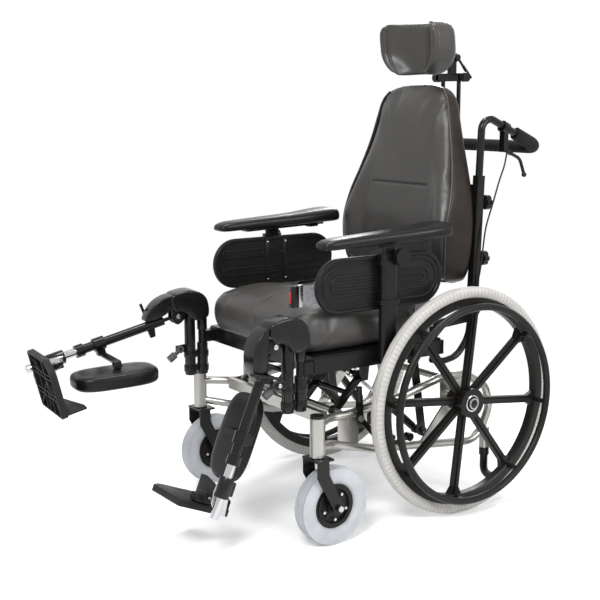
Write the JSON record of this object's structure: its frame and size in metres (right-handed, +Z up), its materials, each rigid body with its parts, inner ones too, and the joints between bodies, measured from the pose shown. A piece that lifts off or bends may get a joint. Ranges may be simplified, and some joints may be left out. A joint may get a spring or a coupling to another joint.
{
  "type": "tilt in space wheelchair",
  "caption": "Manual tilt in space wheelchair with a winged headrest, padded armrests, elevating legrests, spoked rear wheels and swivel casters.",
  "frame": {"origin": "on the floor under the middle of the bounding box", "axes": "+Z up, the chair faces -Y, +X is the occupant's left"},
  "size_m": [0.729, 1.3696, 1.288],
  "materials": {
    "frame_silver": "satin silver",
    "frame_black": "gloss black",
    "chrome": "polished",
    "wheel_black": "satin moulded",
    "panel_black": "satin moulded",
    "gloss_black": "gloss moulded",
    "tyre_grey": "matt",
    "caster_grey": "matt",
    "vinyl": "fine-grained, satin",
    "foam_black": "matt foam",
    "webbing": "woven",
    "button_red": "gloss",
    "grip_grey": "ribbed, matt",
    "cable_black": "satin sheath"
  },
  "bodies": {
    "base": {"side_frame_left": "frame_silver", "side_frame_right": "frame_silver", "cross_members": "frame_silver"},
    "front_links": {"front_links": "frame_black"},
    "rear_links": {"rear_links": "frame_black"},
    "tilt_cylinders": {"tilt_cylinders": "frame_black"},
    "tilt_rods": {"tilt_rods": "chrome"},
    "seat": {"seat_frame": "frame_black", "seat_cushion": "vinyl", "arm_posts": "frame_black", "side_panels": "panel_black", "lap_belt": "webbing"},
    "buckle_button": {"buckle_button": "button_red"},
    "back": {"back_frame": "frame_black", "back_shell": "panel_black", "back_cushion": "vinyl", "back_knobs": "panel_black", "brake_cables": "cable_black"},
    "push": {"push_bar": "frame_black", "push_grip": "foam_black"},
    "headrest_posts": {"headrest_posts": "frame_black"},
    "headrest_pad": {"headrest_pad": "vinyl"},
    "headrest_lever": {"headrest_lever": "frame_black"},
    "anti_tipper_left": {"anti_tipper_left": "frame_black"},
    "wheel_brake_left": {"wheel_brake_left": "frame_black"},
    "caster_fork_left": {"caster_fork_left": "frame_black"},
    "caster_left": {"caster_wheel_left": "wheel_black", "caster_tyre_left": "caster_grey"},
    "wheel_left": {"rear_wheel_left": "wheel_black", "rear_tyre_left": "tyre_grey"},
    "arm_left": {"arm_slide_left": "frame_black", "arm_pad_left": "gloss_black"},
    "hand_brake_left": {"hand_brake_left": "frame_black"},
    "hanger_left": {"knee_hanger_left": "gloss_black"},
    "latch_left": {"latch_left": "grip_grey"},
    "leg_left": {"leg_tube_left": "frame_black", "knee_lobe_left": "gloss_black"},
    "calf_left": {"calf_pad_left": "gloss_black"},
    "foot_left": {"foot_tube_left": "chrome"},
    "footplate_left": {"footplate_left": "panel_black"},
    "anti_tipper_right": {"anti_tipper_right": "frame_black"},
    "wheel_brake_right": {"wheel_brake_right": "frame_black"},
    "caster_fork_right": {"caster_fork_right": "frame_black"},
    "caster_right": {"caster_wheel_right": "wheel_black", "caster_tyre_right": "caster_grey"},
    "wheel_right": {"rear_wheel_right": "wheel_black", "rear_tyre_right": "tyre_grey"},
    "arm_right": {"arm_slide_right": "frame_black", "arm_pad_right": "gloss_black"},
    "hand_brake_right": {"hand_brake_right": "frame_black"},
    "hanger_right": {"knee_hanger_right": "gloss_black"},
    "latch_right": {"latch_right": "grip_grey"},
    "leg_right": {"leg_tube_right": "frame_black", "knee_lobe_right": "gloss_black"},
    "calf_right": {"calf_pad_right": "gloss_black"},
    "foot_right": {"foot_tube_right": "chrome"},
    "footplate_right": {"footplate_right": "panel_black"}
  },
  "joints": [
    {"name": "tilt", "type": "hinge", "parent": "base", "child": "front_links", "pos_m": [0, -0.02468, 0.31], "axis": [1, 0, 0], "range_deg": [0, 40]},
    {"name": "seat_on_links", "type": "hinge", "parent": "front_links", "child": "seat", "pos_m": [0, 0.05732, 0.394], "axis": [1, 0, 0], "range_deg": [-60, 0]},
    {"name": "rear_link_pivot", "type": "hinge", "parent": "base", "child": "rear_links", "pos_m": [0, 0.27432, 0.206], "axis": [1, 0, 0], "range_deg": [0, 24]},
    {"name": "cylinder_pivot", "type": "hinge", "parent": "base", "child": "tilt_cylinders", "pos_m": [0, 0.27432, 0.206], "axis": [1, 0, 0], "range_deg": [0, 4]},
    {"name": "rod_slide", "type": "slide", "parent": "tilt_cylinders", "child": "tilt_rods", "axis": [0, -0.7558, 0.6548], "range_m": [0, 0.08]},
    {"name": "buckle_press", "type": "slide", "parent": "seat", "child": "buckle_button", "axis": [0.119, 0.9929, 0], "range_m": [0, 0.003], "stiffness_N_per_m": 400},
    {"name": "recline", "type": "hinge", "parent": "seat", "child": "back", "pos_m": [0, 0.31532, 0.498], "axis": [-1, 0, 0], "range_deg": [0, 30]},
    {"name": "push_height", "type": "slide", "parent": "back", "child": "push", "axis": [0, 0.0402, 0.9992], "range_m": [0, 0.1]},
    {"name": "headrest_height", "type": "slide", "parent": "back", "child": "headrest_posts", "axis": [0, 0, 1], "range_m": [0, 0.06]},
    {"name": "headrest_angle", "type": "hinge", "parent": "headrest_posts", "child": "headrest_pad", "pos_m": [0, 0.54432, 1.206], "axis": [1, 0, 0], "range_deg": [-20, 8]},
    {"name": "headrest_clamp", "type": "hinge", "parent": "headrest_posts", "child": "headrest_lever", "pos_m": [0.012, 0.54432, 1.206], "axis": [1, 0, 0], "range_deg": [0, 60]},
    {"name": "anti_tip_turn_left", "type": "hinge", "parent": "base", "child": "anti_tipper_left", "pos_m": [0.238, 0.46932, 0.138], "axis": [0, 0, 1], "range_deg": [0, 180]},
    {"name": "wheel_brake_left", "type": "hinge", "parent": "base", "child": "wheel_brake_left", "pos_m": [0.255, 0.01832, 0.296], "axis": [1, 0, 0], "range_deg": [0, 20]},
    {"name": "caster_swivel_left", "type": "hinge", "parent": "base", "child": "caster_fork_left", "pos_m": [0.288, -0.13518, 0.28], "axis": [0, 0, 1], "continuous": true},
    {"name": "caster_roll_left", "type": "hinge", "parent": "caster_fork_left", "child": "caster_left", "pos_m": [0.288, -0.09268, 0.1], "axis": [1, 0, 0], "continuous": true},
    {"name": "wheel_roll_left", "type": "hinge", "parent": "base", "child": "wheel_left", "pos_m": [0.305, 0.32732, 0.305], "axis": [1, 0, 0], "continuous": true},
    {"name": "arm_height_left", "type": "slide", "parent": "seat", "child": "arm_left", "axis": [0, 0, 1], "range_m": [0, 0.09]},
    {"name": "hand_brake_left", "type": "hinge", "parent": "push", "child": "hand_brake_left", "pos_m": [0.215, 0.53532, 0.959], "axis": [1, 0, 0], "range_deg": [0, 20], "stiffness_Nm_per_rad": 1, "springref_deg": -17.19},
    {"name": "leg_swing_left", "type": "hinge", "parent": "seat", "child": "hanger_left", "pos_m": [0.241, -0.15268, 0.4], "axis": [0, 0, 1], "range_deg": [0, 90]},
    {"name": "latch_left", "type": "hinge", "parent": "hanger_left", "child": "latch_left", "pos_m": [0.2375, -0.22048, 0.4139], "axis": [1, 0, 0], "range_deg": [0, 25], "stiffness_Nm_per_rad": 0.2, "springref_deg": -17.19},
    {"name": "leg_raise_left", "type": "hinge", "parent": "hanger_left", "child": "leg_left", "pos_m": [0.2355, -0.23048, 0.5099], "axis": [-1, 0, 0], "range_deg": [0, 64.5]},
    {"name": "calf_turn_left", "type": "hinge", "parent": "leg_left", "child": "calf_left", "pos_m": [0.1215, -0.28629, 0.28271], "axis": [-1, 0, 0], "range_deg": [-15, 15]},
    {"name": "foot_length_left", "type": "slide", "parent": "leg_left", "child": "foot_left", "axis": [0, -0.3891, -0.9212], "range_m": [0, 0.08]},
    {"name": "footplate_fold_left", "type": "hinge", "parent": "foot_left", "child": "footplate_left", "pos_m": [0.0915, -0.38181, 0.14394], "axis": [-1, 0, 0], "range_deg": [0, 60]},
    {"name": "anti_tip_turn_right", "type": "hinge", "parent": "base", "child": "anti_tipper_right", "pos_m": [-0.238, 0.46932, 0.138], "axis": [0, 0, -1], "range_deg": [0, 180]},
    {"name": "wheel_brake_right", "type": "hinge", "parent": "base", "child": "wheel_brake_right", "pos_m": [-0.255, 0.01832, 0.296], "axis": [1, 0, 0], "range_deg": [0, 20]},
    {"name": "caster_swivel_right", "type": "hinge", "parent": "base", "child": "caster_fork_right", "pos_m": [-0.288, -0.13518, 0.28], "axis": [0, 0, 1], "continuous": true},
    {"name": "caster_roll_right", "type": "hinge", "parent": "caster_fork_right", "child": "caster_right", "pos_m": [-0.288, -0.09268, 0.1], "axis": [1, 0, 0], "continuous": true},
    {"name": "wheel_roll_right", "type": "hinge", "parent": "base", "child": "wheel_right", "pos_m": [-0.305, 0.32732, 0.305], "axis": [1, 0, 0], "continuous": true},
    {"name": "arm_height_right", "type": "slide", "parent": "seat", "child": "arm_right", "axis": [0, 0, 1], "range_m": [0, 0.09]},
    {"name": "hand_brake_right", "type": "hinge", "parent": "push", "child": "hand_brake_right", "pos_m": [-0.215, 0.53532, 0.959], "axis": [1, 0, 0], "range_deg": [0, 20], "stiffness_Nm_per_rad": 1, "springref_deg": -17.19},
    {"name": "leg_swing_right", "type": "hinge", "parent": "seat", "child": "hanger_right", "pos_m": [-0.241, -0.15268, 0.4], "axis": [0, 0, -1], "range_deg": [-5.1, 84.9]},
    {"name": "latch_right", "type": "hinge", "parent": "hanger_right", "child": "latch_right", "pos_m": [-0.24354, -0.22052, 0.4139], "axis": [0.996, -0.0889, 0], "range_deg": [0, 25], "stiffness_Nm_per_rad": 0.2, "springref_deg": -17.19},
    {"name": "leg_raise_right", "type": "hinge", "parent": "hanger_right", "child": "leg_right", "pos_m": [-0.24244, -0.23066, 0.5099], "axis": [-0.996, 0.0889, 0], "range_deg": [-53.5, 11]},
    {"name": "calf_turn_right", "type": "hinge", "parent": "leg_right", "child": "calf_right", "pos_m": [-0.14807, -0.45576, 0.41962], "axis": [-0.996, 0.0889, 0], "range_deg": [-20, 3]},
    {"name": "foot_length_right", "type": "slide", "parent": "leg_right", "child": "foot_right", "axis": [-0.0864, -0.9681, -0.2351], "range_m": [0, 0.08]},
    {"name": "footplate_fold_right", "type": "hinge", "parent": "foot_right", "child": "footplate_right", "pos_m": [-0.13316, -0.62613, 0.41387], "axis": [-0.996, 0.0889, 0], "range_deg": [0, 60]}
  ],
  "couplings": [
    {"joint": "seat_on_links", "follows": "tilt", "ratio": -1.469},
    {"joint": "rear_link_pivot", "follows": "tilt", "ratio": 0.5465},
    {"joint": "cylinder_pivot", "follows": "tilt", "ratio": 0.0719},
    {"joint": "rod_slide", "follows": "tilt", "m_per_rad": 0.11335}
  ]
}
